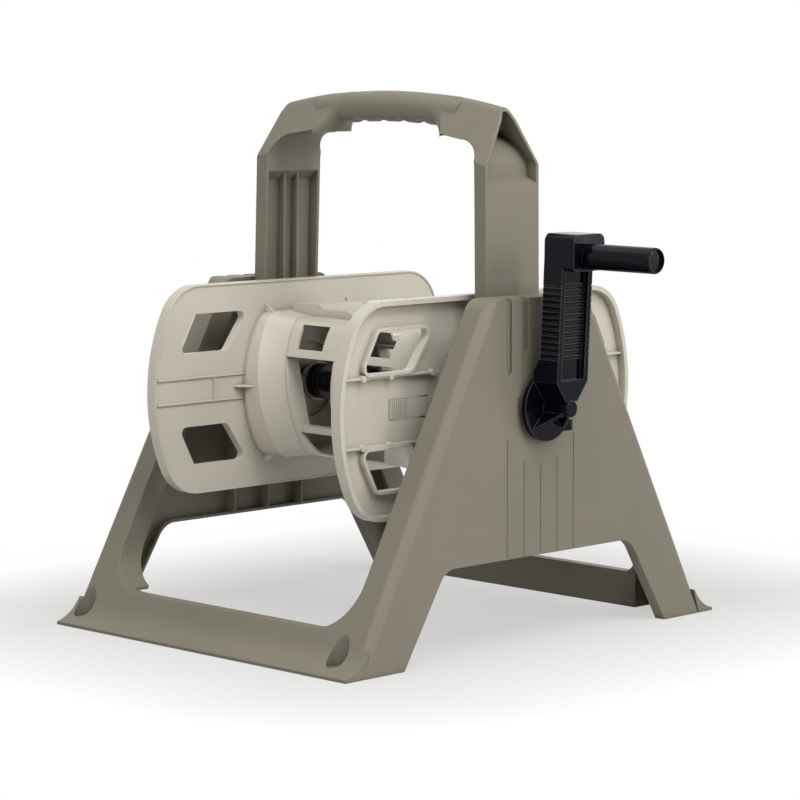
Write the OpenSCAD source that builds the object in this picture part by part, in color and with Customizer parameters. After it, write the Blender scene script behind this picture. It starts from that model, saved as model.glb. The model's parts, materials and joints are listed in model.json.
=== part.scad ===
// Free-standing garden hose reel: a moulded A-frame with a carry handle, a reel with two
// long flanges on a windowed drum, a water path through the left journal, and a crank.
// Millimetres. X runs along the reel's axle towards the crank, -Y is the front, +Z is up.

/* [Frame] */
// half width of the frame at the floor
base_half_w = 203.3; // [180:0.1:230]
// how much the side panels lean in, per millimetre of height
side_lean = 0.0129; // [0:0.0001:0.03]
// half depth of the frame at the floor, without the flare
base_half_d = 255.9; // [230:0.1:280]
// how much the front and rear faces lean in, per millimetre of height
face_slope = 0.5373; // [0.4:0.0001:0.6]
// height of the side panels
panel_top = 341; // [320:1:360]
// wall of the frame moulding
skin = 3.5; // [2.5:0.1:5]
// radius of the frame's sloping outer corners
corner_r = 10; // [6:0.5:14]
// radius where a sloping face meets the panel top
shoulder_r = 18; // [10:1:24]
// half width of the front and rear openings
opening_half_w = 169; // [155:1:176]
// radius at the bottom corners of those openings
opening_r = 45; // [25:1:60]
// height of the ledge on the front and rear bars
ledge_z = 37; // [28:1:50]
// depth of the rim around the openings
rim_depth = 29; // [18:1:31]
// wall of that rim
rim_wall = 3; // [2:0.1:4]
// half gap between the inner walls of the two bars
bar_inner_y = 224.5; // [215:0.5:228]
// half length of the bars' closed box section
bar_half_l = 139; // [125:1:150]
// reach of the flare at the foot of the front and rear faces
flare_reach = 16.1; // [8:0.1:22]
// height of that flare
flare_h = 25; // [15:1:32]
// height of the arch between the feet at each side
arch_h = 89.3; // [70:0.1:110]
// half width of the arch at the floor
arch_half_w = 193.4; // [175:0.1:205]
// radius at the top corners of the arch
arch_r = 24; // [15:1:32]
// radius of the stake pocket in each front corner
pocket_r = 11; // [8:0.5:13]
// middle of the left stake pocket, from the middle of the frame
pocket_left_x = -188.5; // [-190:0.5:-180]
// middle of the right stake pocket, from the middle of the frame
pocket_right_x = 169; // [160:0.5:185]

/* [Panel details] */
// spacing of the flutes and ribs on the side panels
rib_pitch = 24.4; // [18:0.1:26]
// width of a flute
flute_w = 8; // [4:0.1:10]
// depth of a flute
flute_depth = 2.5; // [1:0.1:3]
// length of the outer flutes
flute_long = 73; // [50:1:90]
// length of the inner flutes
flute_short = 52; // [35:1:70]
// depth of the stiffening ribs inside a panel
inner_rib = 16; // [8:1:24]

/* [Handle] */
// outer half width of the handle at its shoulders
handle_half_w = 158.4; // [150:0.1:165]
// half width of the handle's opening
handle_in = 144.5; // [135:0.1:150]
// how much each upright leans out towards its foot, per millimetre
handle_lean = 0.02; // [0:0.001:0.04]
// half depth of the uprights
upright_half_d = 39.1; // [30:0.1:41]
// drop from the top to the shoulders, where the uprights start to taper
shoulder_drop = 67; // [60:1:80]
// overall height
handle_top = 537; // [520:1:560]
// radius of the arched top
arch_top_r = 740; // [600:10:900]
// wall of the handle moulding
handle_wall = 3.5; // [2.5:0.1:5]
// height of the feet of the uprights inside the frame
upright_foot = 283; // [275:1:300]
// height of the screws that hold the uprights
screw_z = 306; // [300:1:320]
// drop from the top to the seam across each upright's outer side
seam_drop = 91; // [84:1:110]
// half length of the hand grip
grip_half_l = 76; // [55:1:80]
// radius of the hand grip
grip_r = 15.5; // [12:0.5:18]
// how far the hand grip's top lies below the roof beside it
grip_drop = 0.8; // [0.4:0.1:3]
// distance between the finger hollows
finger_pitch = 28; // [20:1:30]
// radius of the finger hollows
finger_r = 11; // [9:0.5:13]

/* [Reel] */
// height of the reel's axle
axle_z = 235; // [228:0.5:245]
// half width of the hose space between the flanges
hose_half_w = 124; // [110:1:130]
// half length of a flange
flange_half_l = 212; // [195:1:220]
// half height of a flange
flange_half_h = 105.5; // [90:0.5:115]
// radius of a flange's curved ends
flange_end_r = 183; // [160:1:210]
// radius of a flange's corners
flange_corner_r = 45; // [30:1:60]
// wall of a flange
flange_wall = 3; // [2:0.1:4]
// depth of a flange's outward rim
flange_rim = 11; // [8:0.5:14]
// wall of that rim
flange_rim_wall = 5; // [3:0.5:7]
// half length of the drum
drum_half_l = 79; // [70:1:86]
// half height of the drum
drum_half_h = 70; // [60:1:74]
// how far the drum's foot stands out round the drum
foot_step = 11; // [4:0.5:14]
// length of the drum's foot at its middle, from the flange
foot_len = 22; // [18:0.5:26]
// length of the stepped neck between the foot and the drum
neck_len = 15; // [9:0.5:18]
// how much the foot's edge leans away from the flange, per millimetre down
foot_lean = 0.128; // [0:0.001:0.16]
// wall of the drum
drum_wall = 3; // [2:0.1:4]
// height of the ramp on the drum
ramp_h = 8; // [4:0.5:12]
// length of that ramp
ramp_l = 80; // [60:1:90]
// half width of that ramp
ramp_half_w = 30; // [20:1:40]

/* [Bearings and water path] */
// radius of the journals
journal_r = 18; // [15:0.5:20]
// wall of the bearing bushes
bush_wall = 4; // [3:0.5:5]
// radial clearance of a running fit
running = 0.06; // [0.02:0.01:0.1]
// radius of the inlet tube
tube_r = 9.5; // [8:0.1:11]
// wall of the water tubes
tube_wall = 2.5; // [2:0.1:3]
// length of the outlet tube's socket over the inlet tube
socket_l = 30; // [26:1:34]
// length of the outlet tube, up to its elbow
outlet_l = 82; // [78:1:90]
// outer radius of the outlet's male hose thread
thread_r = 13.3; // [12:0.1:14]
// inner radius of the inlet nut
nut_bore_r = 13.5; // [12:0.1:14]
// length of the inlet nut
nut_l = 22; // [16:1:28]
// section radius of the O-rings
ring_r = 0.7; // [0.6:0.05:0.8]

/* [Crank] */
// distance from the axle to the crank's grip
crank_r = 148; // [130:1:152]
// radius of the crank's hub disc
disc_r = 34; // [28:0.5:38]
// thickness of that disc
disc_t = 5; // [4:0.5:9]
// radius of the boss on the disc
boss_r = 8.3; // [6:0.1:10]
// height of the boss
boss_h = 30; // [26:1:34]
// half width of the crank arm
arm_half_w = 22.5; // [16:0.5:25]
// thickness of the crank arm
arm_t = 23; // [16:0.5:26]
// outer radius of the crank's grip
grip_tube_r = 12.5; // [10:0.5:15]
// length of the crank's grip
grip_tube_l = 82; // [70:1:110]
// how much the arm leans outwards, per millimetre of its length
arm_lean = 0.035; // [0:0.001:0.05]
// width of the square drive between the crank and the reel
drive = 22; // [18:0.5:24]
// radius of the pin in the grip
pin_r = 5; // [4:0.5:6]

/* [Fasteners] */
// radius of the screws' shanks
screw_r = 2; // [1.5:0.1:2.5]
// radius of the screws' heads
screw_head_r = 4.2; // [3:0.1:5]
// length of the handle's screws
screw_l = 18; // [12:1:24]

/* [Output] */
// which piece to draw

/* [Hidden] */
$fn = 64;

taupe = [0.42, 0.40, 0.34];
beige = [0.72, 0.69, 0.62];
black = [0.03, 0.03, 0.04];
steel = [0.62, 0.62, 0.60];
rubber = [0.06, 0.06, 0.06];

far = 900;
handle_kink = handle_top - shoulder_drop;
handle_seam = handle_top - seam_drop;
slope_angle = atan(face_slope);
slope_stretch = sqrt(1 + face_slope * face_slope);
function side_x(z) = base_half_w - side_lean * z;
function face_y(z) = base_half_d - face_slope * z;
skin_x = side_x(axle_z);
function upright_x(z) = handle_half_w + handle_lean * (handle_kink - z);
function upright_in_x(z) = handle_in + handle_lean * (handle_kink - z);

bush_r = journal_r + running + bush_wall;
bush_collar = 3;
collar_r = bush_r + 7;
bearing_in_x = hose_half_w + flange_rim + 12;
disc_gap = 4.3;
disc_x = skin_x + disc_gap;
arm_x = disc_x + disc_t + 6;
head_t = arm_t + 14;
head_x = arm_x + head_t + arm_lean * crank_r;
grip_end_x = head_x + 1 + grip_tube_l;
inlet_flange_r = collar_r + 1;
inlet_x = side_x(axle_z - inlet_flange_r);
inlet_flange_t = 4;
inlet_screw_ring = (bush_r + collar_r) / 2;
tube_out_x = skin_x + 62;
x_max = grip_end_x;
nut_end_x = tube_out_x + 2;
x_min = -nut_end_x;
x_mid = (x_max + x_min) / 2;

// An arc overshoots the edge it blends into by this much, so that the two cross at a clear angle.
blend = 0.01;

// Profiles are drawn flat and pushed along an axis: (y, z) along X and (x, z) along Y.
module along_x(length) { rotate([90, 0, 90]) linear_extrude(length, center = true) children(); }
module along_y(length) { rotate([90, 0, 0]) linear_extrude(length, center = true) children(); }
module from_x(x, length) { translate([x, 0, 0]) rotate([90, 0, 90]) linear_extrude(length) children(); }
module rod_x(x, length, r) { translate([x, 0, 0]) rotate([0, 90, 0]) cylinder(h = length, r = r); }
module rod_y(x, y, length, r) { translate([x, y, 0]) rotate([-90, 0, 0]) cylinder(h = length, r = r); }
module both_x() { children(); mirror([1, 0, 0]) children(); }
module both_y() { children(); mirror([0, 1, 0]) children(); }
module both_z() { children(); mirror([0, 0, 1]) children(); }
module placed(shade) { color(shade) translate([-x_mid, 0, 0]) children(); }
module at_axle() { translate([0, 0, axle_z]) children(); }

// A polygon with every edge moved out by r and every corner rounded to r.
module rounded(points, r) {
    count = len(points);
    polygon(points);
    for (i = [0 : count - 1]) {
        a = points[i];
        b = points[(i + 1) % count];
        out = [b[1] - a[1], a[0] - b[0]] / norm(b - a) * (r - blend);
        translate(a) circle(r);
        polygon([a, a + out, b + out, b]);
    }
}

// Frame
module side_outline(inset, top_inset, r) {
    top = panel_top - top_inset;
    foot = inset > 0 ? -2 : 0;
    d0 = base_half_d - inset * slope_stretch - face_slope * foot;
    d1 = base_half_d - inset * slope_stretch - face_slope * top;
    reach = r * tan((90 - slope_angle) / 2);
    difference() {
        polygon([[-d0, foot], [d0, foot], [d1, top], [-d1, top]]);
        for (s = [-1, 1]) scale([s, 1]) difference() {
            polygon([[d1 - reach, top + 1], [d1 + 2, top + 1],
                     [d1 + reach * sin(slope_angle) + 2, top - reach * cos(slope_angle)],
                     [d1 + reach * sin(slope_angle), top - reach * cos(slope_angle)],
                     [d1 - reach, top - r]]);
            translate([d1 - reach, top - r]) circle(r + blend);
        }
    }
}
module front_outline(inset) {
    foot = inset > 0 ? -2 : 0;
    polygon([[-(side_x(foot) - inset), foot], [side_x(foot) - inset, foot],
             [side_x(panel_top) - inset, panel_top], [-(side_x(panel_top) - inset), panel_top]]);
}
module corner_cuts(inset, r) {
    length = panel_top * 1.3;
    both_x() both_y()
        translate([base_half_w - inset, -(base_half_d - inset * slope_stretch), 0])
            rotate([-slope_angle, 0, 0]) rotate([0, -atan(side_lean) * cos(slope_angle), 0])
                translate([0, 0, -40]) linear_extrude(length) difference() {
                    translate([-r, -2]) square([r + 2, r + 2]);
                    translate([-r, r]) circle(r + blend);
                }
}
module frame_block(inset, top_inset) {
    difference() {
        intersection() {
            along_x(2 * base_half_w + 10) side_outline(inset, top_inset, shoulder_r - top_inset);
            along_y(2 * base_half_d + 40) front_outline(inset);
        }
        corner_cuts(inset, corner_r - inset);
    }
}
module opening_outline(grow) {
    w = opening_half_w + grow;
    z = ledge_z - grow;
    r = opening_r + grow;
    translate([-w, z + r]) square([2 * w, far]);
    translate([-(w - r), z]) square([2 * (w - r), r + 1]);
    for (s = [-1, 1]) translate([s * (w - r), z + r]) circle(r);
}
module arch_outline(grow) {
    lean = 0.6364;
    top = arch_h + grow;
    w0 = arch_half_w + grow * 1.19;
    w1 = w0 - lean * top;
    reach = arch_r * tan((90 - atan(lean)) / 2);
    difference() {
        polygon([[-w0 - 2 * lean, -2], [w0 + 2 * lean, -2], [w1, top], [-w1, top]]);
        for (s = [-1, 1]) scale([s, 1]) difference() {
            polygon([[w1 - reach, top + 1], [w1 + 2, top + 1],
                     [w1 + reach * sin(atan(lean)) + 2, top - reach * cos(atan(lean))],
                     [w1 + reach * sin(atan(lean)), top - reach * cos(atan(lean))],
                     [w1 - reach, top - arch_r]]);
            translate([w1 - reach, top - arch_r]) circle(arch_r + blend);
        }
    }
}
module flare_outline() {
    y0 = base_half_d + flare_reach;
    y1 = face_y(flare_h);
    toe = 3;
    dy = y0 - y1;
    dz = flare_h - toe;
    hollow_r = (dy * dy + dz * dz) / (2 * (dy * cos(slope_angle) - dz * sin(slope_angle)));
    difference() {
        polygon([[-y0, 0], [-y0, toe], [-y1, flare_h], [-y1 + 2, flare_h], [-face_y(0) + skin + 2, 0]]);
        translate([-y1 - hollow_r * cos(slope_angle), flare_h + hollow_r * sin(slope_angle)])
            circle(hollow_r, $fn = 128);
    }
}
module pockets(grow) {
    floor_z = 6 - grow;
    back_y = face_y(ledge_z - 1);
    for (x = [pocket_left_x, pocket_right_x]) translate([x, -(back_y + pocket_r), floor_z])
        cylinder(h = 60, r = pocket_r + grow);
}
module flute(y, length) {
    from_x(skin_x - 10, 30) {
        translate([y, panel_top - length + flute_w / 2]) circle(flute_w / 2);
        translate([y - flute_w / 2, panel_top - length + flute_w / 2]) square([flute_w, length + 10]);
    }
}
module side_panel_inside() {
    bottom = arch_h + 3;
    intersection() {
        union() {
            for (i = [-1 : 1])
                translate([side_x(0) - inner_rib - 2, 2 * i * rib_pitch + 6.5 - 1.25, bottom])
                    cube([inner_rib + 12, 2.5, 190 - bottom]);
            for (s = [-1, 1], i = [1, 2])
                translate([skin_x - 5, s * i * rib_pitch - flute_w / 2 - 2, panel_top - flute_long - 4])
                    cube([5, flute_w + 4, flute_long + 4]);
            for (s = [-1, 1])
                translate([bearing_in_x + 8, s * (2 * rib_pitch + 1) - 1.25, 200])
                    cube([60, 2.5, 60]);
            translate([bearing_in_x + 8, -2 * rib_pitch - 2, axle_z - 1.5]) cube([60, 4 * rib_pitch + 4, 3]);
        }
        frame_block(1, 1);
    }
}
module screw_spots() {
    for (y = [-20, 20]) translate([0, y, screw_z]) children();
}
module base_frame() placed(taupe) {
    difference() {
        union() {
            difference() {
                frame_block(0, 0);
                frame_block(skin, skin);
                along_y(far) opening_outline(0);
                along_x(far) arch_outline(0);
            }
            intersection() {
                frame_block(0, 0);
                union() {
                    difference() {
                        along_y(far) difference() {
                            opening_outline(rim_wall);
                            opening_outline(0);
                        }
                        along_x(far) side_outline(rim_depth / slope_stretch, -20, 1);
                        translate([-bar_half_l, -bar_inner_y, -5])
                            cube([2 * bar_half_l, 2 * bar_inner_y, 75]);
                    }
                    both_y() translate([-bar_half_l, -bar_inner_y - rim_wall, 0])
                        cube([2 * bar_half_l, rim_wall, ledge_z]);
                    both_y() both_x() translate([bar_half_l - rim_wall, -base_half_d, 0])
                        cube([rim_wall, base_half_d - bar_inner_y, ledge_z]);
                    both_x() from_x(base_half_w - 12, 20) difference() {
                        arch_outline(rim_wall);
                        arch_outline(0);
                    }
                    pockets(rim_wall);
                }
            }
            both_y() intersection() {
                along_x(2 * base_half_w) flare_outline();
                translate([0, 0, 30]) cube([2 * side_x(0), far, 60], center = true);
            }
            both_x() side_panel_inside();
            both_x() at_axle()
                rod_x(bearing_in_x + bush_collar, skin_x - 1 - bearing_in_x - bush_collar, collar_r);
            both_x() screw_spots() rod_x(upright_x(screw_z) - 4, skin_x - upright_x(screw_z) + 3, 6);
        }
        pockets(0);
        both_x() at_axle() rod_x(bearing_in_x, 90, bush_r);
        at_axle() inlet_screw_spots() rod_x(inlet_x - screw_l, screw_l + 1, screw_r - 0.3);
        both_x() screw_spots() rod_x(upright_x(screw_z) - 10, screw_l + 8, screw_r - 0.3);
        both_x() upright_solid(0);
        both_x() intersection() {
            union() {
                for (s = [-1, 1]) {
                    flute(s * 2 * rib_pitch - s * 1.5, flute_long);
                    flute(s * rib_pitch - s * 1.5, flute_short);
                }
            }
            difference() {
                frame_block(-5, -5);
                frame_block(flute_depth, flute_depth);
            }
        }
        translate([skin_x - 6, -1.35 * rib_pitch - 0.8, 228.5]) cube([20, 1.8, 16]);
        translate([skin_x - 6, 1.3 * rib_pitch, 207]) cube([20, 15, 11]);
    }
    both_x() for (i = [-2 : 2]) {
        tall = abs(i) == 2 ? 114 : abs(i) == 1 ? 91 : 87;
        translate([side_x(arch_h + 2) - 1, i * rib_pitch, arch_h + 2])
            rotate([0, -atan(side_lean), 0]) translate([0, -0.8, 0]) cube([1.6, 1.6, tall]);
    }
}

// Handle
module handle_outline() {
    corner_x = handle_half_w - 12.4;
    chamfer_x = handle_half_w - 6.9;
    translate([0, handle_top - arch_top_r]) intersection() {
        circle(arch_top_r, $fn = 256);
        translate([-corner_x, 0]) square([2 * corner_x, far]);
    }
    corner_z = handle_top - arch_top_r + sqrt(arch_top_r * arch_top_r - corner_x * corner_x);
    polygon([[-upright_x(upright_foot), upright_foot], [upright_x(upright_foot), upright_foot],
             [handle_half_w, handle_kink], [chamfer_x, handle_top - 26], [corner_x, corner_z],
             [-corner_x, corner_z], [-chamfer_x, handle_top - 26], [-handle_half_w, handle_kink]]);
}
module handle_opening(grow) {
    low = upright_foot - 10;
    corner = 28;
    turn_z = handle_top - 74;
    r = corner + grow;
    side = upright_in_x(turn_z) - 0.6;
    w0 = upright_in_x(low) + grow;
    grip_low = handle_top - 34 + grow;
    polygon([[-w0, low], [w0, low], [side + grow, turn_z], [-side - grow, turn_z]]);
    for (s = [-1, 1]) scale([s, 1]) {
        translate([side - corner, turn_z]) circle(r);
        polygon([[0, turn_z - 3], [side - corner, turn_z - 3], [side - corner, turn_z + r],
                 [grip_half_l, grip_low - 5.5], [grip_half_l - 1, grip_low], [0, grip_low]]);
    }
}
module roof_outline(inset) {
    w = upright_half_d - inset;
    apex_r = 10 - inset;
    drop = handle_top - handle_kink - 15;
    translate([arch_top_r - 10, 0]) intersection() {
        circle(apex_r);
        translate([0, -20]) square(40);
    }
    x0 = arch_top_r - 10 + apex_r * cos(60);
    y0 = apex_r * sin(60);
    polygon([[x0, -y0], [x0, y0], [arch_top_r - drop, w], [arch_top_r - drop - 130, w],
             [arch_top_r - drop - 130, -w], [arch_top_r - drop, -w]]);
}
module roof(inset) {
    translate([0, 0, handle_top - arch_top_r]) rotate([90, 0, 0]) rotate([0, 0, 90 - 20])
        rotate_extrude(angle = 40, $fn = 360) roof_outline(inset);
}
module upright_solid(gap) {
    rotate([90, 0, 0]) translate([0, 0, -upright_half_d - gap]) linear_extrude(2 * (upright_half_d + gap))
        polygon([[upright_in_x(upright_foot) - gap, upright_foot - gap],
                 [upright_x(upright_foot) + gap, upright_foot - gap],
                 [upright_x(400) + gap, 400], [upright_in_x(400) - gap, 400]]);
}
grip_sweep = asin((grip_half_l + 22) / arch_top_r);
module hand_grip() {
    translate([0, 0, handle_top - arch_top_r]) rotate([90, 0, 0]) rotate([0, 0, 90 - grip_sweep])
        rotate_extrude(angle = 2 * grip_sweep, $fn = 360)
            translate([arch_top_r - grip_r - grip_drop, 0]) circle(grip_r);
}
module handle() placed(taupe) {
    step = handle_seam + 5;
    difference() {
        union() {
            intersection() {
                along_y(2 * upright_half_d) handle_outline();
                union() {
                    roof(0);
                    translate([-far / 2, -upright_half_d, upright_foot])
                        cube([far, 2 * upright_half_d, 400 - upright_foot]);
                }
                difference() {
                    translate([-far / 2, -50, 0]) cube([far, 100, far]);
                    along_y(far)
                        polygon([[-grip_half_l, 300], [grip_half_l, 300], [grip_half_l, handle_top - 34],
                                 [grip_half_l + 20, handle_top + 8], [-grip_half_l - 20, handle_top + 8],
                                 [-grip_half_l, handle_top - 34]]);
                    both_y() translate([0, 0, 300]) linear_extrude(far)
                        polygon([[-grip_half_l, -14], [grip_half_l, -14], [grip_half_l + 25, -44],
                                 [-grip_half_l - 25, -44]]);
                }
            }
        }
        along_y(far) handle_opening(0);
        both_x() difference() {
            intersection() {
                roof(handle_wall);
                along_y(2 * (upright_half_d - handle_wall))
                    polygon([[grip_half_l + 26, step + 4.5], [upright_in_x(step), step + 4.5],
                             [upright_x(handle_seam) + 5, handle_seam], [far / 2, handle_seam],
                             [far / 2, far], [grip_half_l + 26, far]]);
            }
            along_y(far) handle_opening(handle_wall);
        }
        both_x() difference() {
            rotate([90, 0, 0]) linear_extrude(2 * (upright_half_d - handle_wall), center = true)
                polygon([[100, upright_foot - 5], [upright_x(upright_foot - 5) - handle_wall, upright_foot - 5],
                         [upright_x(handle_seam) - handle_wall, handle_seam - 4],
                         [upright_in_x(step), step], [100, step]]);
            for (y = [-9, 10]) translate([upright_in_x(step) + 3, y - 1.2, 0]) cube([40, 2.4, far]);
        }
        both_x() screw_spots() rod_x(130, 60, screw_r + 0.2);
    }
    difference() {
        hand_grip();
        for (i = [-1.5 : 1.5]) translate([i * finger_pitch, 0, handle_top - 2 * grip_r + 3 - finger_r])
            rotate([90, 0, 0]) cylinder(h = 4 * grip_r, r = finger_r, center = true);
    }
}
module handle_screws() placed(steel) {
    both_x() screw_spots() {
        seat = upright_x(screw_z) - handle_wall - 0.12;
        rod_x(seat - 2.6, 2.6, screw_head_r);
        rod_x(seat - 0.1, screw_l, screw_r - 0.3);
    }
}

// Bearings pressed into the frame
module bush() {
    at_axle() difference() {
        union() {
            rod_x(bearing_in_x + bush_collar - 0.01, skin_x - bearing_in_x - bush_collar, bush_r);
            rod_x(bearing_in_x, bush_collar, collar_r - 1);
        }
        rod_x(bearing_in_x - 5, 90, journal_r + running);
    }
}
module bearing_right() placed(black) { bush(); }
module bearing_left() placed(black) { mirror([1, 0, 0]) bush(); }

// Water path: a fixed inlet tube, its swivel nut, and the outlet tube that turns with the reel
swivel_x = nut_end_x - nut_l + 2;
tube_end_x = swivel_x + 6;
washer_x = tube_end_x + 0.3;
nose_x = hose_half_w - 16;
groove_spots = [nose_x + 4, nose_x + 11];
module inlet_tube() placed(black) {
    mirror([1, 0, 0]) at_axle() difference() {
        union() {
            rod_x(nose_x, tube_end_x - nose_x, tube_r);
            rod_x(inlet_x, inlet_flange_t, inlet_flange_r);
            rod_x(inlet_x + inlet_flange_t - 0.5, 10, tube_r + 4);
            rod_x(swivel_x + 2, 4, tube_r + 2.5);
            for (a = [0 : 90 : 270]) rotate([a, 0, 0])
                translate([inlet_x + inlet_flange_t - 0.5, -1.2, 0]) cube([10, 2.4, bush_r + 5]);
        }
        rod_x(nose_x - 5, 200, tube_r - tube_wall);
        for (x = groove_spots) translate([x, 0, 0]) rotate([0, 90, 0]) rotate_extrude()
            translate([tube_r - 2 * ring_r, -ring_r - 0.1]) square([3, 2 * ring_r + 0.2]);
        mirror([1, 0, 0]) inlet_screw_spots() rod_x(inlet_x - 1, inlet_flange_t + 2, screw_r + 0.2);
    }
}
module inlet_screw_spots() {
    mirror([1, 0, 0]) for (a = [45 : 90 : 315])
        rotate([a, 0, 0]) translate([0, 0, inlet_screw_ring]) children();
}
module inlet_screws() placed(steel) {
    at_axle() inlet_screw_spots() {
        rod_x(inlet_x + inlet_flange_t, 2.4, screw_head_r - 1);
        rod_x(inlet_x + inlet_flange_t - screw_l + 2, screw_l - 1.9, screw_r - 0.3);
    }
}
module inlet_nut() placed(black) {
    mirror([1, 0, 0]) at_axle() difference() {
        union() {
            rod_x(swivel_x - 2, nut_l, nut_bore_r + 3.2);
            for (a = [0 : 30 : 330]) rotate([a, 0, 0])
                translate([swivel_x, -1.6, nut_bore_r + 1]) cube([nut_l - 4, 3.2, 4]);
        }
        rod_x(swivel_x - 3, 6, tube_r + 0.3);
        rod_x(swivel_x + 1.7, washer_x + 3.5 - swivel_x - 1.7, nut_bore_r + 0.6);
        rod_x(washer_x, 60, nut_bore_r);
    }
}
module inlet_washer() placed(rubber) {
    mirror([1, 0, 0]) at_axle() difference() {
        rod_x(washer_x, 3, nut_bore_r + 0.58);
        rod_x(tube_end_x, 4, tube_r - tube_wall);
    }
}
tube_left_x = -(hose_half_w - 4);
elbow_x = tube_left_x + outlet_l;
elbow_r = thread_r + 0.3;
spigot_y = elbow_r + 4;
module out_tube() placed(black) {
    at_axle() difference() {
        union() {
            rod_x(tube_left_x, socket_l, tube_r + 5.5);
            for (x = [6, 14]) rod_x(tube_left_x + x, 4, tube_r + 8.5);
            rod_x(tube_left_x + socket_l - 8, 8, tube_r + 8.5);
            rod_x(tube_left_x + socket_l, outlet_l - socket_l, tube_r + 1);
            translate([elbow_x, 0, -elbow_r]) cylinder(2 * elbow_r, r = elbow_r);
            rod_y(elbow_x, 0, spigot_y - 2, tube_r + 2);
            rod_y(elbow_x, spigot_y - 4, 4, thread_r + 3);
            rod_y(elbow_x, spigot_y, 18, thread_r);
        }
        rod_x(tube_left_x - 5, -nose_x - tube_left_x + 6, tube_r + running);
        rod_x(tube_left_x, elbow_x - tube_left_x, tube_r - tube_wall);
        rod_y(elbow_x, -2, far, tube_r - tube_wall + 0.6);
    }
}
module o_rings() placed(rubber) {
    mirror([1, 0, 0]) at_axle() for (x = groove_spots)
        translate([x, 0, 0]) rotate([0, 90, 0]) rotate_extrude() translate([tube_r - ring_r, 0]) circle(ring_r);
}
module tube_clip() placed(beige) {
    reach = drum_half_l - drum_wall;
    at_axle() difference() {
        translate([tube_left_x + 10.1, 0, 0]) {
            rod_x(0, 3.8, tube_r + 11);
            translate([0, -reach, -6]) cube([3.8, 2 * reach, 12]);
        }
        rod_x(tube_left_x, 40, tube_r + 5.55);
    }
}

// Reel: flanges
module flange_outline(inset) {
    cx = flange_half_l - flange_end_r;
    rc = flange_corner_r - inset;
    h = flange_half_h - inset;
    dz = h - rc;
    dy = sqrt(pow(flange_end_r - flange_corner_r, 2) - dz * dz);
    turn = asin(dz / (flange_end_r - flange_corner_r));
    edge = flange_end_r - inset;
    square([2 * (cx + dy), 2 * h], center = true);
    for (s = [-1, 1]) scale([s, 1]) {
        for (t = [-1, 1]) translate([cx + dy, t * dz]) circle(rc);
        intersection() {
            translate([cx, 0]) circle(edge, $fn = 128);
            polygon([[cx, 0], [cx + far * cos(turn), far * sin(turn)],
                     [cx + far * cos(turn), -far * sin(turn)]]);
        }
    }
}
window_corner = 6;
window_points = [[-109, 37], [-89, 76.5], [-161, 76.5], [-176, 37]];
function toward(points, r) = [for (p = points)
    let (c = [-134, 56.5], v = p - c) p - [sign(v[0]) * r * 1.15, sign(v[1]) * r]];
module window_outline(grow) {
    rounded(toward(window_points, window_corner), window_corner + grow);
}
module flange_plate() {
    from_x(0, flange_wall) difference() {
        flange_outline(0);
        for (sy = [-1, 1], sz = [-1, 1]) scale([sy, sz]) window_outline(0);
    }
    from_x(-1, flange_rim + 1) difference() {
        flange_outline(0);
        flange_outline(1.6);
    }
    from_x(0, flange_rim) difference() {
        flange_outline(0);
        flange_outline(flange_rim_wall);
    }
    for (sy = [-1, 1], sz = [-1, 1]) from_x(0, flange_rim - 2) scale([sy, sz]) difference() {
        window_outline(3.2);
        window_outline(0);
    }
    for (sy = [-1, 1], sz = [-1, 1]) scale([1, sy, sz]) {
        translate([flange_wall - 0.5, -flange_half_l + flange_rim_wall, 32]) cube([5.5, 134, 2.2]);
        for (y = [-178, -140.5, -82]) rod_x_at(y, 33, flange_wall - 0.5, 7, 3.2);
    }
    both_z() both_y() translate([-1.6, -flange_half_l + 3, 11.4])
        cube([2.6, flange_half_l - 3 - drum_half_l - foot_step - 0.3, 1.8]);
    both_y() translate([-1.6, -133, -11.4]) cube([2.6, 1.8, 22.8]);
}
module rod_x_at(y, z, x, length, r) { translate([0, y, z]) rod_x(x, length, r); }
module latch_tab() {
    y0 = -138;
    translate([-5, y0, -10.5]) difference() {
        cube([20, 55, 21]);
        translate([-1, 1.2, 1.2]) cube([22, 55, 18.6]);
    }
}
module drum_screw_spots() {
    for (y = [-1, 1], z = [-1, 1]) translate([0, (drum_half_l - 26) * y, (drum_half_h - 22) * z]) children();
}
module hub_ribs() {
    for (a = [0 : 45 : 315]) rotate([a, 0, 0])
        translate([flange_wall - 1, -1.2, journal_r - 1]) cube([6, 2.4, 36]);
}
module flange_left() placed(beige) {
    mirror([1, 0, 0]) translate([hose_half_w, 0, axle_z]) difference() {
        union() {
            flange_plate();
            rod_x(0, skin_x - 3 - hose_half_w, journal_r);
            rod_x(flange_wall - 1, 7, journal_r + 6);
            hub_ribs();
        }
        rod_x(-5, skin_x, tube_r + 2.5);
        rod_x(-5, 8, tube_r + 6);
        drum_screw_spots() rod_x(-5, 20, screw_r + 0.2);
    }
}
module flange_right() placed(beige) {
    translate([hose_half_w, 0, axle_z]) difference() {
        union() {
            flange_plate();
            rod_x(flange_wall - 1, flange_rim + 3, journal_r + 6);
            hub_ribs();
            for (i = [0 : 8]) translate([flange_wall - 0.6, -136 + i * 2.8, -9]) cube([1.4, 1.2, 18]);
            translate([flange_wall - 0.6, -98, -9]) cube([1.6, 12, 18]);
        }
        latch_tab();
        translate([-5, -drive / 2 - 0.1, -drive / 2 - 0.1]) cube([40, drive + 0.2, drive + 0.2]);
        drum_screw_spots() rod_x(-5, 20, screw_r + 0.2);
    }
}

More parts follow.
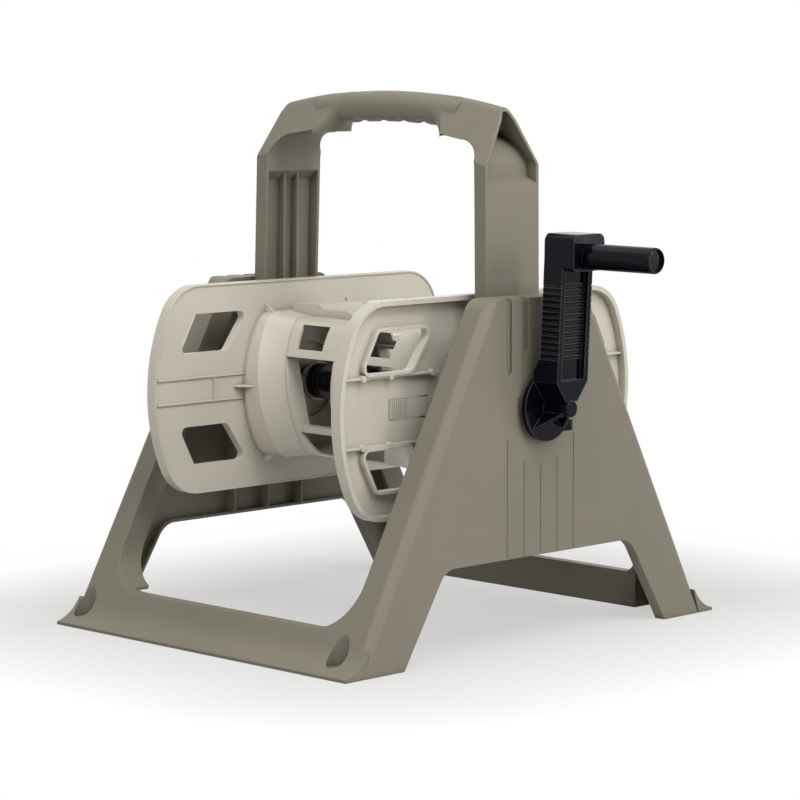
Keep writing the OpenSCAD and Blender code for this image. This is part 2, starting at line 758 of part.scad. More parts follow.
// Reel: drum halves
foot_end_r = 120;
module barrel(inset, extra) {
    hy = drum_half_l + extra - inset;
    hz = drum_half_h + extra * 0.35 - inset;
    r_end = foot_end_r - inset;
    rc = 20 - inset;
    cx = hy - r_end;
    dz = hz - rc;
    dy = sqrt(pow(r_end - rc, 2) - dz * dz);
    turn = asin(dz / (r_end - rc));
    square([2 * (cx + dy), 2 * hz], center = true);
    for (s = [-1, 1]) scale([s, 1]) {
        for (t = [-1, 1]) translate([cx + dy, t * dz]) circle(rc);
        intersection() {
            translate([cx, 0]) circle(r_end, $fn = 128);
            polygon([[cx, 0], [cx + far * cos(turn), far * sin(turn)],
                     [cx + far * cos(turn), -far * sin(turn)]]);
        }
    }
}
// The foot and the neck's steps, each a slice that ends in a leaning face.
module foot_and_neck(inset) {
    steps = 3;
    slice = neck_len / (steps - 1);
    for (i = [0 : steps - 1]) {
        end_x = foot_len + i * slice - inset;
        intersection() {
            from_x(-1, 70) barrel(inset, foot_step * (steps - i) / steps);
            along_y(far) polygon([[-10, far], [end_x - foot_lean * far, far],
                                  [end_x + foot_lean * far, -far], [-10, -far]]);
        }
    }
}
module drum_shell() {
    difference() {
        union() {
            foot_and_neck(0);
            from_x(0, hose_half_w) barrel(0, 0);
        }
        foot_and_neck(drum_wall);
        from_x(-2, hose_half_w + 4) barrel(drum_wall, 0);
        translate([-far, -far / 2, -far / 2]) cube([far, far, far]);
    }
}
// A cut or rib on both sides of the drum, drawn as (x, z) and pushed along Y from y0 outwards.
module on_both_sides(y0, length) {
    both_y() rotate([90, 0, 0]) translate([0, 0, y0]) linear_extrude(length) children();
}
big_window_x = [47, 65, hose_half_w - 10];
big_window_z = [-37, 32];
small_window = [[56, 64], [95, 64], [95, 40], [59, 40]];
low_window = [[64, -44], [hose_half_w - 14, -44], [hose_half_w - 14, -66], [78, -66]];
module drum_windows() {
    on_both_sides(20, far)
        polygon([[big_window_x[0], big_window_z[1]], [big_window_x[2], big_window_z[1]],
                 [big_window_x[2], big_window_z[0]], [big_window_x[1], big_window_z[0]]]);
    on_both_sides(20, far) polygon(small_window);
    on_both_sides(20, far) polygon(low_window);
}
// The rim inside the drum round a big window: two ledges and a slanted wall on the foot's side.
module window_rim() {
    on_both_sides(drum_half_l - 20, 20) {
        polygon([[big_window_x[0] - drum_wall, big_window_z[1] + 2], [big_window_x[0], big_window_z[1] + 2],
                 [big_window_x[1], big_window_z[0]], [big_window_x[1] - drum_wall, big_window_z[0]]]);
        translate([big_window_x[1] - 4, big_window_z[0] - drum_wall])
            square([hose_half_w - big_window_x[1] + 4, drum_wall]);
        translate([big_window_x[0] - drum_wall, big_window_z[1]])
            square([hose_half_w - big_window_x[0] + drum_wall, drum_wall]);
    }
}
module drum_half() {
    difference() {
        union() {
            drum_shell();
            intersection() {
                from_x(0, hose_half_w) barrel(1, 0);
                window_rim();
            }
            from_x(0, drum_wall) difference() {
                barrel(1, foot_step);
                circle(40);
            }
            drum_screw_spots() rod_x(0.5, 16, 5);
        }
        drum_windows();
        drum_screw_spots() rod_x(-2, 14, screw_r - 0.3);
    }
    both_z() both_y() translate([0, -58, 0]) rotate([90, 0, 0]) linear_extrude(2)
        polygon([[0, drum_half_h - 1], [20, drum_half_h - 1], [1, drum_half_h + 12], [0, drum_half_h + 12]]);
    both_y() translate([0, -drum_half_l - foot_step, -1]) linear_extrude(2)
        polygon([[0, 2], [18, 2], [1, -14], [0, -14]]);
}
module drum_left() placed(beige) {
    translate([-hose_half_w, 0, axle_z]) drum_half();
}
module drum_right() placed(beige) {
    translate([hose_half_w, 0, axle_z]) mirror([1, 0, 0]) drum_half();
}
module hose_ramp() placed(beige) {
    end = -6;
    at_axle() translate([end, 0, drum_half_h]) rotate([90, 0, 0]) translate([0, 0, -ramp_half_w])
        linear_extrude(2 * ramp_half_w)
            polygon([[-ramp_l, 0], [-0.95 * ramp_l, ramp_h - 1], [-0.4 * ramp_l, ramp_h],
                     [-0.15 * ramp_l, 2], [0, 2], [0, 0]]);
}
module flange_screws() placed(steel) {
    both_x() translate([hose_half_w, 0, axle_z]) drum_screw_spots() {
        rod_x(flange_wall, 2.4, screw_head_r);
        rod_x(-11, 11 + flange_wall + 0.1, screw_r - 0.3);
    }
}

// Crank
module crank_arm() placed(black) {
    root_x = disc_x + disc_t;
    z_low = 26;
    z_start = 7;
    root_z = 50;
    z_top = crank_r + 21.5;
    head_low = crank_r - 14;
    boss_edge = 1.5;
    notch_z = [for (i = [0 : 12]) 48 + i * 5.8];
    notch = 1.6;
    hollow = 5;
    at_axle() difference() {
        union() {
            rod_x(disc_x, disc_t, disc_r);
            translate([root_x - 1, 0, 0]) rotate([0, 90, 0]) rotate_extrude() {
                square([boss_r, boss_h + 1 - boss_edge]);
                square([boss_r - boss_edge, boss_h + 1]);
                translate([boss_r - boss_edge, boss_h + 1 - boss_edge]) circle(boss_edge);
            }
            rod_x(hose_half_w + flange_rim + 9, disc_x - hose_half_w - flange_rim - 8.5, journal_r);
            translate([hose_half_w + 0.5, -drive / 2, -drive / 2]) cube([24, drive, drive]);
            intersection() {
                rotate([90, 0, 0]) translate([0, 0, -arm_half_w]) linear_extrude(2 * arm_half_w)
                    polygon([[root_x - 1, z_start], [arm_x + arm_t, z_start],
                             [arm_x + arm_t + arm_lean * z_top, z_top - 8], [arm_x + arm_lean * z_top, z_top],
                             [arm_x + arm_lean * root_z, root_z], [root_x - 1, root_z - 14]]);
                from_x(0, far) {
                    polygon([[-boss_r, z_start], [boss_r, z_start], [arm_half_w, z_low],
                             [arm_half_w, z_top - 9], [arm_half_w - 9, z_top], [9 - arm_half_w, z_top],
                             [-arm_half_w, z_top - 9], [-arm_half_w, z_low]]);
                }
            }
            from_x(arm_x + arm_lean * crank_r, head_t) {
                translate([-arm_half_w + 8, head_low]) square([2 * arm_half_w - 16, z_top - head_low]);
                translate([-arm_half_w, head_low + 4]) square([2 * arm_half_w, z_top - head_low - 12]);
                for (s = [-1, 1]) translate([s * (arm_half_w - 8), z_top - 8]) circle(8);
                for (s = [-1, 1]) translate([s * (arm_half_w - 4), head_low + 4]) circle(4);
            }
            for (a = [-45, 45]) rotate([a, 0, 0]) rotate([90, 0, 0]) translate([0, 0, -1.6]) linear_extrude(3.2)
                polygon([[root_x - 1, 0], [root_x + boss_h - 6, 0], [root_x + boss_h - 6, -boss_r + 1],
                         [root_x, -disc_r + 3], [root_x - 1, -disc_r + 3]]);
        }
        intersection() {
            rotate([90, 0, 0]) translate([0, 0, -arm_half_w + 6]) linear_extrude(2 * arm_half_w - 12)
                polygon([[arm_x + arm_t - hollow + arm_lean * 20, 20], [far, 20],
                         [far, head_low], [arm_x + arm_t - hollow + arm_lean * head_low, head_low]]);
            from_x(0, far)
                polygon([[6 - arm_half_w, z_low + 2], [arm_half_w - 6, z_low + 2],
                         [arm_half_w - 6, head_low], [6 - arm_half_w, head_low]]);
        }
        for (z = notch_z, s = [-1, 1])
            translate([arm_x - 5, s * arm_half_w - notch / 2, z]) cube([60, notch, notch]);
        translate([0, 0, crank_r]) rod_x(head_x - 30, 60, pin_r + 0.05);
        rod_x(hose_half_w - 10, 45, screw_r);
    }
    at_axle() for (z = notch_z)
        translate([arm_x + arm_t - hollow - 0.5 + arm_lean * z, -arm_half_w + 5.5, z])
            cube([1.9, 2 * arm_half_w - 11, 3.4]);
}
module crank_screw() placed(steel) {
    washer_t = 2;
    at_axle() {
        rod_x(hose_half_w - washer_t, washer_t, drive * 0.77);
        rod_x(hose_half_w - washer_t - 2.6, 2.7, screw_head_r);
        rod_x(hose_half_w - washer_t, 34, screw_r);
    }
}
cap_r = grip_tube_r - 1.8;
module grip_pin() placed(steel) {
    translate([0, 0, axle_z + crank_r]) {
        rod_x(head_x - 28, grip_tube_l + 22, pin_r);
        rod_x(grip_end_x - 7.5, 3, pin_r + 3.5);
    }
}
module crank_grip() placed(black) {
    edge = 3;
    translate([0, 0, axle_z + crank_r]) difference() {
        translate([head_x + 1, 0, 0]) rotate([0, 90, 0]) rotate_extrude() {
            square([grip_tube_r, grip_tube_l - edge]);
            square([grip_tube_r - edge, grip_tube_l]);
            translate([grip_tube_r - edge, grip_tube_l - edge]) circle(edge);
        }
        rod_x(head_x, grip_tube_l + 10, pin_r + running);
        rod_x(grip_end_x - 9, 20, cap_r);
    }
}
module grip_cap() placed(black) {
    translate([0, 0, axle_z + crank_r]) rod_x(grip_end_x - 4.2, 0.8, cap_r);
}

base_frame();
handle();
handle_screws();
bearing_left();
bearing_right();
inlet_tube();
inlet_screws();
inlet_nut();
inlet_washer();
flange_left();
flange_right();
drum_left();
drum_right();
hose_ramp();
out_tube();
o_rings();
tube_clip();
flange_screws();
crank_arm();
crank_screw();
grip_pin();
crank_grip();
grip_cap();
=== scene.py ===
import json
import math
import bpy
import bmesh
from mathutils import Matrix, Vector


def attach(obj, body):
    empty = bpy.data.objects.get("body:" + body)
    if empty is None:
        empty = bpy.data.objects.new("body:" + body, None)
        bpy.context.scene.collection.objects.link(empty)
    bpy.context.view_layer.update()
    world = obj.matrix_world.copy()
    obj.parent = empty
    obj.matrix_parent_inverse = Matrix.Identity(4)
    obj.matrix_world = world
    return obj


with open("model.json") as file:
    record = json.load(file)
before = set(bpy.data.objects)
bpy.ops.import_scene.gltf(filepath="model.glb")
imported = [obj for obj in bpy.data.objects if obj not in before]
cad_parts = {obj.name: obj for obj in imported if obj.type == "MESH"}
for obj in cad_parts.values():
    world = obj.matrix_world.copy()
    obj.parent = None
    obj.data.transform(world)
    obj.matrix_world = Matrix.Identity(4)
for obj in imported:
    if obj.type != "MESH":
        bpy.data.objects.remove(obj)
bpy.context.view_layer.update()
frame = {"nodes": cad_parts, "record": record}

# Lengths are in metres. The reel's own middle plane lies at x = -X_MID in the shared frame.
X_MID = 0.03824
AXLE_Z = 0.235

TAUPE = (0.213, 0.194, 0.149)
BEIGE = (0.602, 0.560, 0.480)
CRANK_BLACK = (0.002, 0.0025, 0.006)
FITTING_BLACK = (0.012, 0.012, 0.013)
ZINC_DARK, ZINC_PALE = (0.50, 0.50, 0.48), (0.63, 0.62, 0.58)
RUBBER_DARK, RUBBER_PALE = (0.010, 0.010, 0.010), (0.022, 0.021, 0.020)
FLOOR_GREY = (0.60, 0.597, 0.590)
# An unlit grey, painted as the floor's shadow round the reel.
PAINTED_SHADOW_GREY = (0.58, 0.575, 0.566)
WHITE = (1.0, 1.0, 1.0)


# Building blocks for materials


def new_material(name):
    mat = bpy.data.materials.new(name)
    mat.use_nodes = True
    tree = mat.node_tree
    tree.nodes.clear()
    output = tree.nodes.new("ShaderNodeOutputMaterial")
    shader = tree.nodes.new("ShaderNodeBsdfPrincipled")
    tree.links.new(shader.outputs["BSDF"], output.inputs["Surface"])
    return mat, tree, shader, output


def node(tree, kind, **values):
    """A new node. Each value goes to the setting or else the socket of that name."""
    made = tree.nodes.new(kind)
    for key, value in values.items():
        if hasattr(made, key):
            setattr(made, key, value)
        else:
            made.inputs[key.replace("_", " ")].default_value = value
    return made


def combine(tree, operation, first, second):
    """A maths step on a socket and a second socket or number."""
    made = node(tree, "ShaderNodeMath", operation=operation)
    tree.links.new(first, made.inputs[0])
    if isinstance(second, bpy.types.NodeSocket):
        tree.links.new(second, made.inputs[1])
    else:
        made.inputs[1].default_value = second
    return made.outputs[0]


def combine_vectors(tree, operation, first, second=None):
    """A vector maths step on a socket and, where it takes one, a second socket or constant."""
    made = node(tree, "ShaderNodeVectorMath", operation=operation)
    tree.links.new(first, made.inputs[0])
    if isinstance(second, bpy.types.NodeSocket):
        tree.links.new(second, made.inputs[1])
    elif second is not None:
        made.inputs[1].default_value = second
    return made.outputs["Value" if operation in ("LENGTH", "DOT_PRODUCT") else "Vector"]


def object_coords(tree, scale=(1, 1, 1)):
    coords = tree.nodes.new("ShaderNodeTexCoord")
    mapping = tree.nodes.new("ShaderNodeMapping")
    mapping.inputs["Scale"].default_value = scale
    tree.links.new(coords.outputs["Object"], mapping.inputs["Vector"])
    return mapping.outputs["Vector"]


def noise(tree, vector, scale, detail=3.0):
    made = node(tree, "ShaderNodeTexNoise", Scale=scale, Detail=detail, Roughness=0.55)
    tree.links.new(vector, made.inputs["Vector"])
    return made.outputs["Fac"]


def spread(tree, value, low, high, start=0.3, end=0.7):
    """Maps start..end of a value to low..high, clamped. The defaults fit a noise."""
    made = node(tree, "ShaderNodeMapRange", From_Min=start, From_Max=end, To_Min=low, To_Max=high)
    tree.links.new(value, made.inputs["Value"])
    return made.outputs["Result"]


def blend_colours(tree, factor, first, second):
    made = node(tree, "ShaderNodeMix", data_type="RGBA")
    for index, value in ((0, factor), (6, first), (7, second)):
        socket = made.inputs[index]
        if isinstance(value, bpy.types.NodeSocket):
            tree.links.new(value, socket)
        else:
            socket.default_value = (*value, 1)
    return made.outputs[2]


def bump(tree, height, distance, strength, normal=None):
    made = node(tree, "ShaderNodeBump", Strength=strength, Distance=distance)
    tree.links.new(height, made.inputs["Height"])
    if normal is not None:
        tree.links.new(normal, made.inputs["Normal"])
    return made.outputs["Normal"]


# Materials

FLOW_STRETCH = (2.0, 2.0, 14.0)  # flow marks run level
FLOW_SHARE = 0.35
# The edges' painted highlight: where it starts and ends, its share, and how much paler it makes the
# colour.
EDGE_TURN = (0.80, 0.985)  # cosine between the rounded and the flat normal, from an edge to a face
EDGE_HIGHLIGHT_SHARE = 0.6
EDGE_HIGHLIGHT_PALER = 1.35
# The crevices' painted shade: how far it looks, where it starts and ends, its share, and how much
# darker it makes the colour.
CREVICE_REACH = 0.008
CREVICE_OPEN = (0.3, 0.85)  # open share of the surroundings, from a crevice to a face
CREVICE_SHADE_SHARE = 0.55
CREVICE_SHADE_DARKER = 0.3


def moulded_plastic(name, colour, rough, grain, soft_edge, mottle, spec, edge_highlight_lift=0.0):
    """Moulded plastic: flow mottling, a fine stipple, rounded edges with a painted highlight,
    painted shade in crevices.
    """
    mat, tree, shader, _ = new_material(name)
    here = object_coords(tree)

    def tinted(factor, lift=0.0):
        return [min(1.0, c * factor + lift) for c in colour]

    mottled = spread(tree, noise(tree, here, 9.0, 4.0), 0.0, 1.0)
    base = blend_colours(tree, mottled, tinted(1 - mottle), tinted(1 + mottle))
    flow = spread(tree, noise(tree, object_coords(tree, FLOW_STRETCH), 5.0, 3.0), 0.0, 1.0)
    flow = combine(tree, "MULTIPLY", flow, FLOW_SHARE)
    base = blend_colours(tree, flow, base, tinted(1 - 0.8 * mottle))

    geometry = tree.nodes.new("ShaderNodeNewGeometry")
    # Painted highlight: the colour turns paler along edges, where the rounded normal leaves the
    # flat one.
    edge = node(tree, "ShaderNodeBevel", samples=6, Radius=1.3 * soft_edge)
    turn = combine_vectors(tree, "DOT_PRODUCT", edge.outputs["Normal"], geometry.outputs["Normal"])
    painted_edge_highlight = spread(tree, turn, EDGE_HIGHLIGHT_SHARE, 0.0, *EDGE_TURN)
    base = blend_colours(tree, painted_edge_highlight, base, tinted(EDGE_HIGHLIGHT_PALER, edge_highlight_lift))

    # Painted shade: the colour turns darker in crevices, measured by ambient occlusion.
    crevice = node(tree, "ShaderNodeAmbientOcclusion", samples=6, Distance=CREVICE_REACH)
    painted_crevice_shade = spread(tree, crevice.outputs["AO"], CREVICE_SHADE_SHARE, 0.0, *CREVICE_OPEN)
    base = blend_colours(tree, painted_crevice_shade, base, tinted(CREVICE_SHADE_DARKER))
    tree.links.new(base, shader.inputs["Base Color"])

    polish = spread(tree, noise(tree, here, 30.0, 5.0), rough - 0.05, rough + 0.06)
    tree.links.new(polish, shader.inputs["Roughness"])
    shader.inputs["Specular IOR Level"].default_value = spec

    rounding = node(tree, "ShaderNodeBevel", samples=4, Radius=soft_edge)
    wave = bump(tree, noise(tree, here, 14.0, 2.0), 0.0012, 0.25, rounding.outputs["Normal"])
    stipple = bump(tree, noise(tree, here, 1500.0, 2.0), 0.0002, grain, wave)
    tree.links.new(stipple, shader.inputs["Normal"])
    return mat


def plated_steel(name):
    """Zinc plate with fine turning rings."""
    mat, tree, shader, _ = new_material(name)
    rings = noise(tree, object_coords(tree, (1.0, 40.0, 40.0)), 60.0)
    clouds = spread(tree, noise(tree, object_coords(tree), 80.0), 0.0, 1.0)
    tint = blend_colours(tree, clouds, ZINC_DARK, ZINC_PALE)
    tree.links.new(tint, shader.inputs["Base Color"])
    shader.inputs["Metallic"].default_value = 1.0
    tree.links.new(spread(tree, rings, 0.26, 0.42), shader.inputs["Roughness"])
    tree.links.new(bump(tree, rings, 0.0002, 0.3), shader.inputs["Normal"])
    return mat


def seal_rubber(name):
    mat, tree, shader, _ = new_material(name)
    here = object_coords(tree)
    clouds = spread(tree, noise(tree, here, 60.0), 0.0, 1.0)
    tint = blend_colours(tree, clouds, RUBBER_DARK, RUBBER_PALE)
    tree.links.new(tint, shader.inputs["Base Color"])
    shader.inputs["Roughness"].default_value = 0.62
    tree.links.new(bump(tree, noise(tree, here, 900.0), 0.0002, 0.4), shader.inputs["Normal"])
    return mat


PLASTICS = {
    "frame_plastic": dict(
        colour=TAUPE, rough=0.46, grain=0.35, soft_edge=0.0013, mottle=0.05, spec=0.3),
    "reel_plastic": dict(
        colour=BEIGE, rough=0.32, grain=0.12, soft_edge=0.0007, mottle=0.025, spec=0.4),
    # The crank's edges get a stronger painted highlight, lifted above its black.
    "crank_plastic": dict(
        colour=CRANK_BLACK, rough=0.12, grain=0.04, soft_edge=0.0009, mottle=0.10, spec=0.12,
        edge_highlight_lift=0.18),
    "black_matte": dict(
        colour=FITTING_BLACK, rough=0.36, grain=0.2, soft_edge=0.0008, mottle=0.10, spec=0.5),
}
materials = {name: moulded_plastic(name, **looks) for name, looks in PLASTICS.items()}
materials["screw_steel"] = plated_steel("screw_steel")
materials["seal_rubber"] = seal_rubber("seal_rubber")

slots = {entry["node"]: entry["material_slot"] for entry in frame["record"]["subparts"]}
for name, obj in frame["nodes"].items():
    for slot in obj.material_slots:
        slot.material = materials[slots[name]]
    if not obj.material_slots:
        obj.data.materials.append(materials[slots[name]])


# Pieces laid over the solids


def piece(name, verts, faces, body, slot, smooth=True):
    mesh = bpy.data.meshes.new(name)
    mesh.from_pydata(verts, [], faces)
    work = bmesh.new()
    work.from_mesh(mesh)
    bmesh.ops.recalc_face_normals(work, faces=work.faces)
    work.to_mesh(mesh)
    work.free()
    for poly in mesh.polygons:
        poly.use_smooth = smooth
    obj = bpy.data.objects.new(name, mesh)
    bpy.context.scene.collection.objects.link(obj)
    mesh.materials.append(materials[slot])
    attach(obj, body)


def loft(name, rows, body, slot, skip=()):
    """A skin through closed rings of equally many points. A skipped gap makes a crease."""
    count = len(rows[0])
    verts = [point for ring in rows for point in ring]
    faces = [(i * count + j, i * count + (j + 1) % count,
              (i + 1) * count + (j + 1) % count, (i + 1) * count + j)
             for i in range(len(rows) - 1) if i not in skip for j in range(count)]
    piece(name, verts, faces, body, slot)


# The drum's smooth flared necks, over the solid's three steps

DRUM_HALF_Y, DRUM_HALF_Z = 0.079, 0.070
DRUM_END_R, DRUM_CORNER_R = 0.120, 0.020
FLANGE_X = 0.124  # from the middle plane to the flange's inner face
FOOT_START, FOOT_RUN = 0.0032, 0.022  # the flat band beside the flange
FOOT_LEAN = 0.128  # how much the band narrows towards the top
NECK_RUN, NECK_STEP, NECK_POWER = 0.029, 0.011, 1.37
NECK_RINGS = 12
NECK_SKIN = 0.0004


def barrel_points(extra, turns=10):
    """The drum's outline, as (y, z): flat top and bottom, round ends, small corner radii."""
    half_y, half_z, corner = DRUM_HALF_Y + extra, DRUM_HALF_Z + 0.35 * extra, DRUM_CORNER_R
    centre = half_y - DRUM_END_R
    dz = half_z - corner
    dy = math.sqrt((DRUM_END_R - corner) ** 2 - dz * dz)
    turn = math.asin(dz / (DRUM_END_R - corner))
    end_angles = [turn * i / turns for i in range(turns)]
    corner_angles = [turn + (math.pi / 2 - turn) * i / turns for i in range(turns + 1)]
    quarter = [(centre + DRUM_END_R * math.cos(a), DRUM_END_R * math.sin(a)) for a in end_angles]
    quarter += [(centre + dy + corner * math.cos(a), dz + corner * math.sin(a))
                for a in corner_angles]
    upper = quarter + [(-y, z) for y, z in reversed(quarter)]
    return upper + [(y, -z) for y, z in reversed(upper[1:-1])]


def flare(name, side):
    """A flat foot band, a crease, and a hollow neck that runs out on the drum."""
    rows = []
    for along in [-1.0, 0.0, 0.0] + [(i + 1) / NECK_RINGS for i in range(NECK_RINGS)]:
        lift = NECK_STEP * (1 - max(along, 0.0)) ** NECK_POWER + NECK_SKIN
        ring = []
        for y, z in barrel_points(lift):
            x = FOOT_START if along < 0 else FOOT_RUN - FOOT_LEAN * z + NECK_RUN * along
            ring.append((side * (x - FLANGE_X) - X_MID, y, AXLE_Z + z))
        rows.append(ring)
    loft(name, rows, "reel", "reel_plastic", skip=(1,))


flare("drum_flare_left", 1)
flare("drum_flare_right", -1)


# The smooth blends between the hand grip and the handle's roof

TOP_Z, ARCH_R = 0.537, 0.740  # the arch's top, and the radius of its curve
GRIP_R, GRIP_DROP = 0.0155, 0.0008
GRIP_SKIN = 0.0002
APEX_R = 0.010  # the roof's rounded ridge
RIDGE_Y, SIDE_RUN, SIDE_DROP = 0.0087, 0.0303, 0.047  # the roof's slanted side
ROOF_EDGE = 0.005
ROOF_DEPTH = 0.0395
ROOF_FOOT_Y = RIDGE_Y + (ROOF_DEPTH - ROOF_EDGE) / SIDE_DROP * SIDE_RUN
BLEND_START, BLEND_SHIFT = 0.056, 0.012  # on top of the grip, and how much further out under it
BLEND_GAP = 0.0004
CUT_X, CUT_Z, CUT_SLOPE = 0.076, 0.503, 20 / 42  # the roof's slanted end, seen from the front
WEDGE_Y, WEDGE_SLOPE = 0.014, 25 / 30  # and seen from above
GRIP_MIDDLE = ARCH_R - GRIP_DROP - GRIP_R  # its height above the arch's middle


def roof_corners():
    """Half of the roof's outline, as (height above the arch's middle, y), from the ridge down."""
    ridge = [math.radians(15 * i) for i in range(5)]
    corners = [(ARCH_R - APEX_R + APEX_R * math.cos(a), APEX_R * math.sin(a)) for a in ridge]
    return corners + [(ARCH_R - ROOF_DEPTH, ROOF_FOOT_Y), (ARCH_R - ROOF_DEPTH, 0.0)]


def roof_ring(turns):
    """Points where rays from the grip's middle meet the roof's outline, as (height, y, angle)."""
    corners = roof_corners()
    half = []
    for i in range(turns + 1):
        angle = math.pi * i / turns
        ray = (math.cos(angle), math.sin(angle))
        best = None
        for (h0, y0), (h1, y1) in zip(corners, corners[1:]):
            dh, dy = h1 - h0, y1 - y0
            cross = ray[0] * dy - ray[1] * dh
            if abs(cross) < 1e-12:
                continue
            reach = ((h0 - GRIP_MIDDLE) * dy - y0 * dh) / cross
            share = ((h0 - GRIP_MIDDLE) * ray[1] - y0 * ray[0]) / cross
            if reach > 0 and -1e-9 <= share <= 1 + 1e-9 and (best is None or reach > best):
                best = reach
        half.append((GRIP_MIDDLE + best * ray[0], best * ray[1], angle))
    return half


def roof_end(h, y):
    """How far from the middle plane the roof's slanted end lies at a point of its outline."""
    end_z = h + TOP_Z - ARCH_R - ROOF_EDGE
    return max(CUT_X + CUT_SLOPE * max(end_z - CUT_Z, 0), CUT_X + WEDGE_SLOPE * max(y - WEDGE_Y, 0))


def grip_blend(name, side, turns=32, steps=14):
    rows = []
    for k in range(steps + 1):
        t = k / steps
        ring = []
        for h, y, angle in roof_ring(turns):
            low = (1 - math.cos(angle)) / 2  # 0 on top of the grip, 1 under it
            start_x = BLEND_START + BLEND_SHIFT * low
            end_x = roof_end(h, y) + BLEND_GAP
            mix = t ** (1.7 - 0.5 * low)
            round_h = GRIP_MIDDLE + (GRIP_R + GRIP_SKIN) * math.cos(angle)
            round_y = (GRIP_R + GRIP_SKIN) * math.sin(angle)
            high = round_h + (h + GRIP_SKIN * math.cos(angle) - round_h) * mix
            wide = round_y + (y + GRIP_SKIN * math.sin(angle) - round_y) * mix
            x = start_x + (end_x - start_x) * t
            ring.append((x, wide, high + TOP_Z - ARCH_R - x * x / (2 * ARCH_R)))
        ring += [(x, -y, z) for x, y, z in reversed(ring[1:-1])]
        rows.append([(side * x - X_MID, y, z) for x, y, z in ring])
    loft(name, rows, "frame", "frame_plastic")


grip_blend("grip_blend_right", 1)
grip_blend("grip_blend_left", -1)


# The level crest over the left end of the hose ramp, which leads the hose down onto the drum

CREST_OUTLINE = ((-0.153, 0.303), (-0.150, 0.3165), (-0.113, 0.3175), (-0.092, 0.303))  # (x, z)
CREST_HALF_WIDTH = 0.0308


def ramp_crest():
    verts = [(x, y, z) for y in (-CREST_HALF_WIDTH, CREST_HALF_WIDTH) for x, z in CREST_OUTLINE]
    sides = [(i, (i + 1) % 4, 4 + (i + 1) % 4, 4 + i) for i in range(4)]
    faces = [(3, 2, 1, 0), (4, 5, 6, 7)] + sides
    piece("ramp_crest", verts, faces, "reel", "reel_plastic", smooth=False)


ramp_crest()


# Camera

FRAME_PX = 800
FOCAL_PX = 3104.21
CENTRE_PX = (372.61, 375.63)  # where the optical axis meets the frame
CAMERA_PLACE = (2.15929 - X_MID, -2.26836, 0.58260)
YAW, PITCH, ROLL = (math.radians(a) for a in (43.953, -6.0975, 0.468))

camera_data = bpy.data.cameras.new("camera")
camera_data.sensor_width = 36
camera_data.lens = FOCAL_PX * 36 / FRAME_PX
camera_data.shift_x = (FRAME_PX / 2 - CENTRE_PX[0]) / FRAME_PX
camera_data.shift_y = -(FRAME_PX / 2 - CENTRE_PX[1]) / FRAME_PX
camera_data.clip_end = 60
camera = bpy.data.objects.new("camera", camera_data)
ahead = Vector((-math.sin(YAW) * math.cos(PITCH), math.cos(YAW) * math.cos(PITCH), math.sin(PITCH)))
level = ahead.cross(Vector((0, 0, 1))).normalized()
upright = level.cross(ahead)
right = math.cos(ROLL) * level + math.sin(ROLL) * upright
up = -math.sin(ROLL) * level + math.cos(ROLL) * upright
turned = Matrix((right, up, -ahead)).transposed().to_4x4()
camera.matrix_world = Matrix.Translation(CAMERA_PLACE) @ turned
bpy.context.scene.collection.objects.link(camera)
bpy.context.scene.camera = camera


# Lamps: name, place, target, size, watts

LAMPS = (
    ("key", (1.6, -0.2, 2.6), (0, 0, 0.25), (1.6, 1.6), 56),
    ("side", (2.8, 0.5, 1.3), (0, 0, 0.25), (0.5, 1.4), 19),
    ("front", (0.6, -2.4, 2.0), (0, 0, 0.25), (1.8, 1.2), 30),
    ("top", (-0.9, -0.6, 2.8), (0, 0, 0.2), (2.4, 2.0), 11),
    ("gloss", (2.3, 2.3, 0.9), (0.15, 0, 0.3), (0.3, 1.4), 9),
)
for name, place, target, size, watts in LAMPS:
    data = bpy.data.lights.new(name, "AREA")
    data.shape = "RECTANGLE"
    data.size, data.size_y = size
    data.energy = watts
    lamp = bpy.data.objects.new(name, data)
    lamp.location = place
    aim = Vector(target) - Vector(place)
    lamp.rotation_euler = aim.to_track_quat("-Z", "Y").to_euler()
    bpy.context.scene.collection.objects.link(lamp)


# World and floor


def seen_ray(tree):
    """1 for a ray that shows the background: to the camera, in a reflection or through glass."""
    path = tree.nodes.new("ShaderNodeLightPath")
    seen = combine(tree, "MAXIMUM", path.outputs["Is Camera Ray"], path.outputs["Is Glossy Ray"])
    return combine(tree, "MAXIMUM", seen, path.outputs["Is Transmission Ray"])


def mix_shaders(tree, factor, first, second, target):
    mix = tree.nodes.new("ShaderNodeMixShader")
    tree.links.new(factor, mix.inputs["Fac"])
    tree.links.new(first, mix.inputs[1])
    tree.links.new(second, mix.inputs[2])
    tree.links.new(mix.outputs[0], target.inputs["Surface"])


AMBIENT = 0.13  # the world's light on the object

world = bpy.data.worlds.new("studio")
bpy.context.scene.world = world
world.use_nodes = True
tree = world.node_tree
tree.nodes.clear()
output = tree.nodes.new("ShaderNodeOutputWorld")
ambient = node(tree, "ShaderNodeBackground", Color=(*WHITE, 1), Strength=AMBIENT)
backdrop = node(tree, "ShaderNodeBackground", Color=(*WHITE, 1), Strength=1.0)
mix_shaders(tree, seen_ray(tree), ambient.outputs[0], backdrop.outputs[0], output)

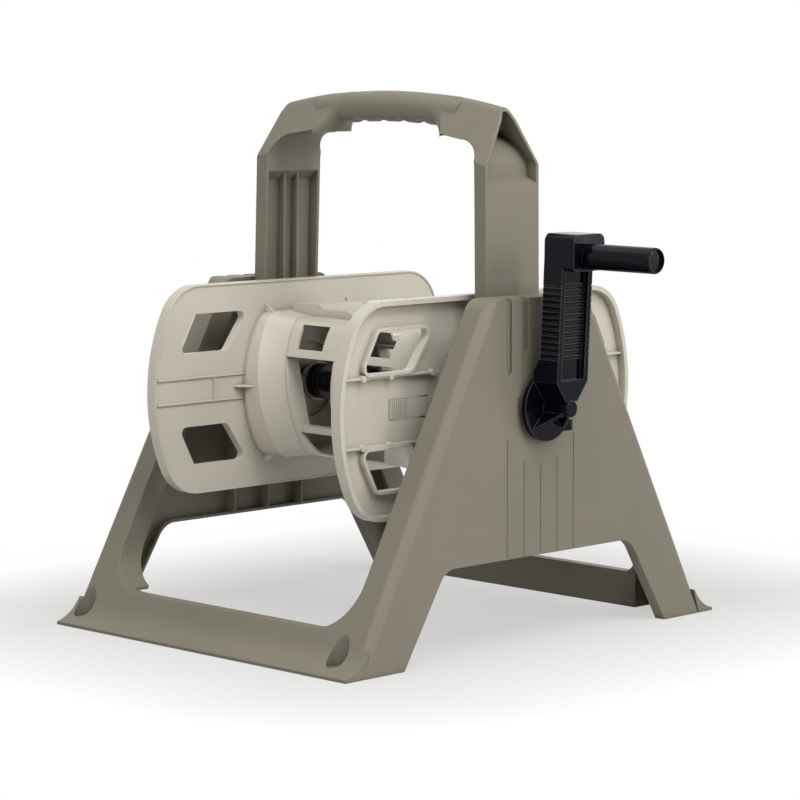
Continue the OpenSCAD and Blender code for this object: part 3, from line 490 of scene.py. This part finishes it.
FLOOR_LIFT = 0.45  # added on seen rays only, so that the floor's light parts come out white
PAINTED_SHADOW_CENTRE, PAINTED_SHADOW_HALF = (-0.06, 0.06, 0), (0.17, 0.27, 0)  # the box that the painted grey shadow lies round
PAINTED_SHADOW_RUN = (0.02, 0.29)  # distance from that box over which the painted shadow turns white
SHARE_NEAR, SHARE_RUN = 0.65, (0.02, 0.4)  # the unlit tone's share there, and where it reaches 1
FLOOR_HALF = 12
FLOOR_Z = -0.0002


def floor_material():
    """A lit floor that keeps the real shadow, mixed with an unlit tone: a painted grey shadow by
    the reel, then white.
    """
    mat, tree, shader, output = new_material("floor")
    shader.inputs["Base Color"].default_value = (*FLOOR_GREY, 1)
    shader.inputs["Roughness"].default_value = 0.9
    shader.inputs["Specular IOR Level"].default_value = 0.1
    seen = seen_ray(tree)
    lift = tree.nodes.new("ShaderNodeEmission")
    tree.links.new(combine(tree, "MULTIPLY", seen, FLOOR_LIFT), lift.inputs["Strength"])
    lit = tree.nodes.new("ShaderNodeAddShader")
    tree.links.new(shader.outputs["BSDF"], lit.inputs[0])
    tree.links.new(lift.outputs["Emission"], lit.inputs[1])

    here = tree.nodes.new("ShaderNodeTexCoord").outputs["Object"]
    outside = combine_vectors(tree, "SUBTRACT", here, PAINTED_SHADOW_CENTRE)
    outside = combine_vectors(tree, "ABSOLUTE", outside)
    outside = combine_vectors(tree, "SUBTRACT", outside, PAINTED_SHADOW_HALF)
    outside = combine_vectors(tree, "MAXIMUM", outside, (0, 0, 0))
    outside = combine_vectors(tree, "LENGTH", outside)
    # Painted shadow: an unlit grey round the reel, turning white away from it.
    unlit_painted_shadow = node(tree, "ShaderNodeEmission", Strength=1.0)
    whiteness = spread(tree, outside, 0.0, 1.0, *PAINTED_SHADOW_RUN)
    tree.links.new(blend_colours(tree, whiteness, PAINTED_SHADOW_GREY, WHITE), unlit_painted_shadow.inputs["Color"])
    share = combine(tree, "MULTIPLY", spread(tree, outside, SHARE_NEAR, 1.0, *SHARE_RUN), seen)
    mix_shaders(tree, share, lit.outputs[0], unlit_painted_shadow.outputs["Emission"], output)
    return mat


floor_mesh = bpy.data.meshes.new("floor")
edge = FLOOR_HALF
floor_mesh.from_pydata([(-edge, -edge, 0), (edge, -edge, 0), (edge, edge, 0), (-edge, edge, 0)],
                       [], [(0, 1, 2, 3)])
floor_mesh.materials.append(floor_material())
floor = bpy.data.objects.new("floor", floor_mesh)
floor.location.z = FLOOR_Z
bpy.context.scene.collection.objects.link(floor)

bpy.context.scene.view_settings.view_transform = "Standard"
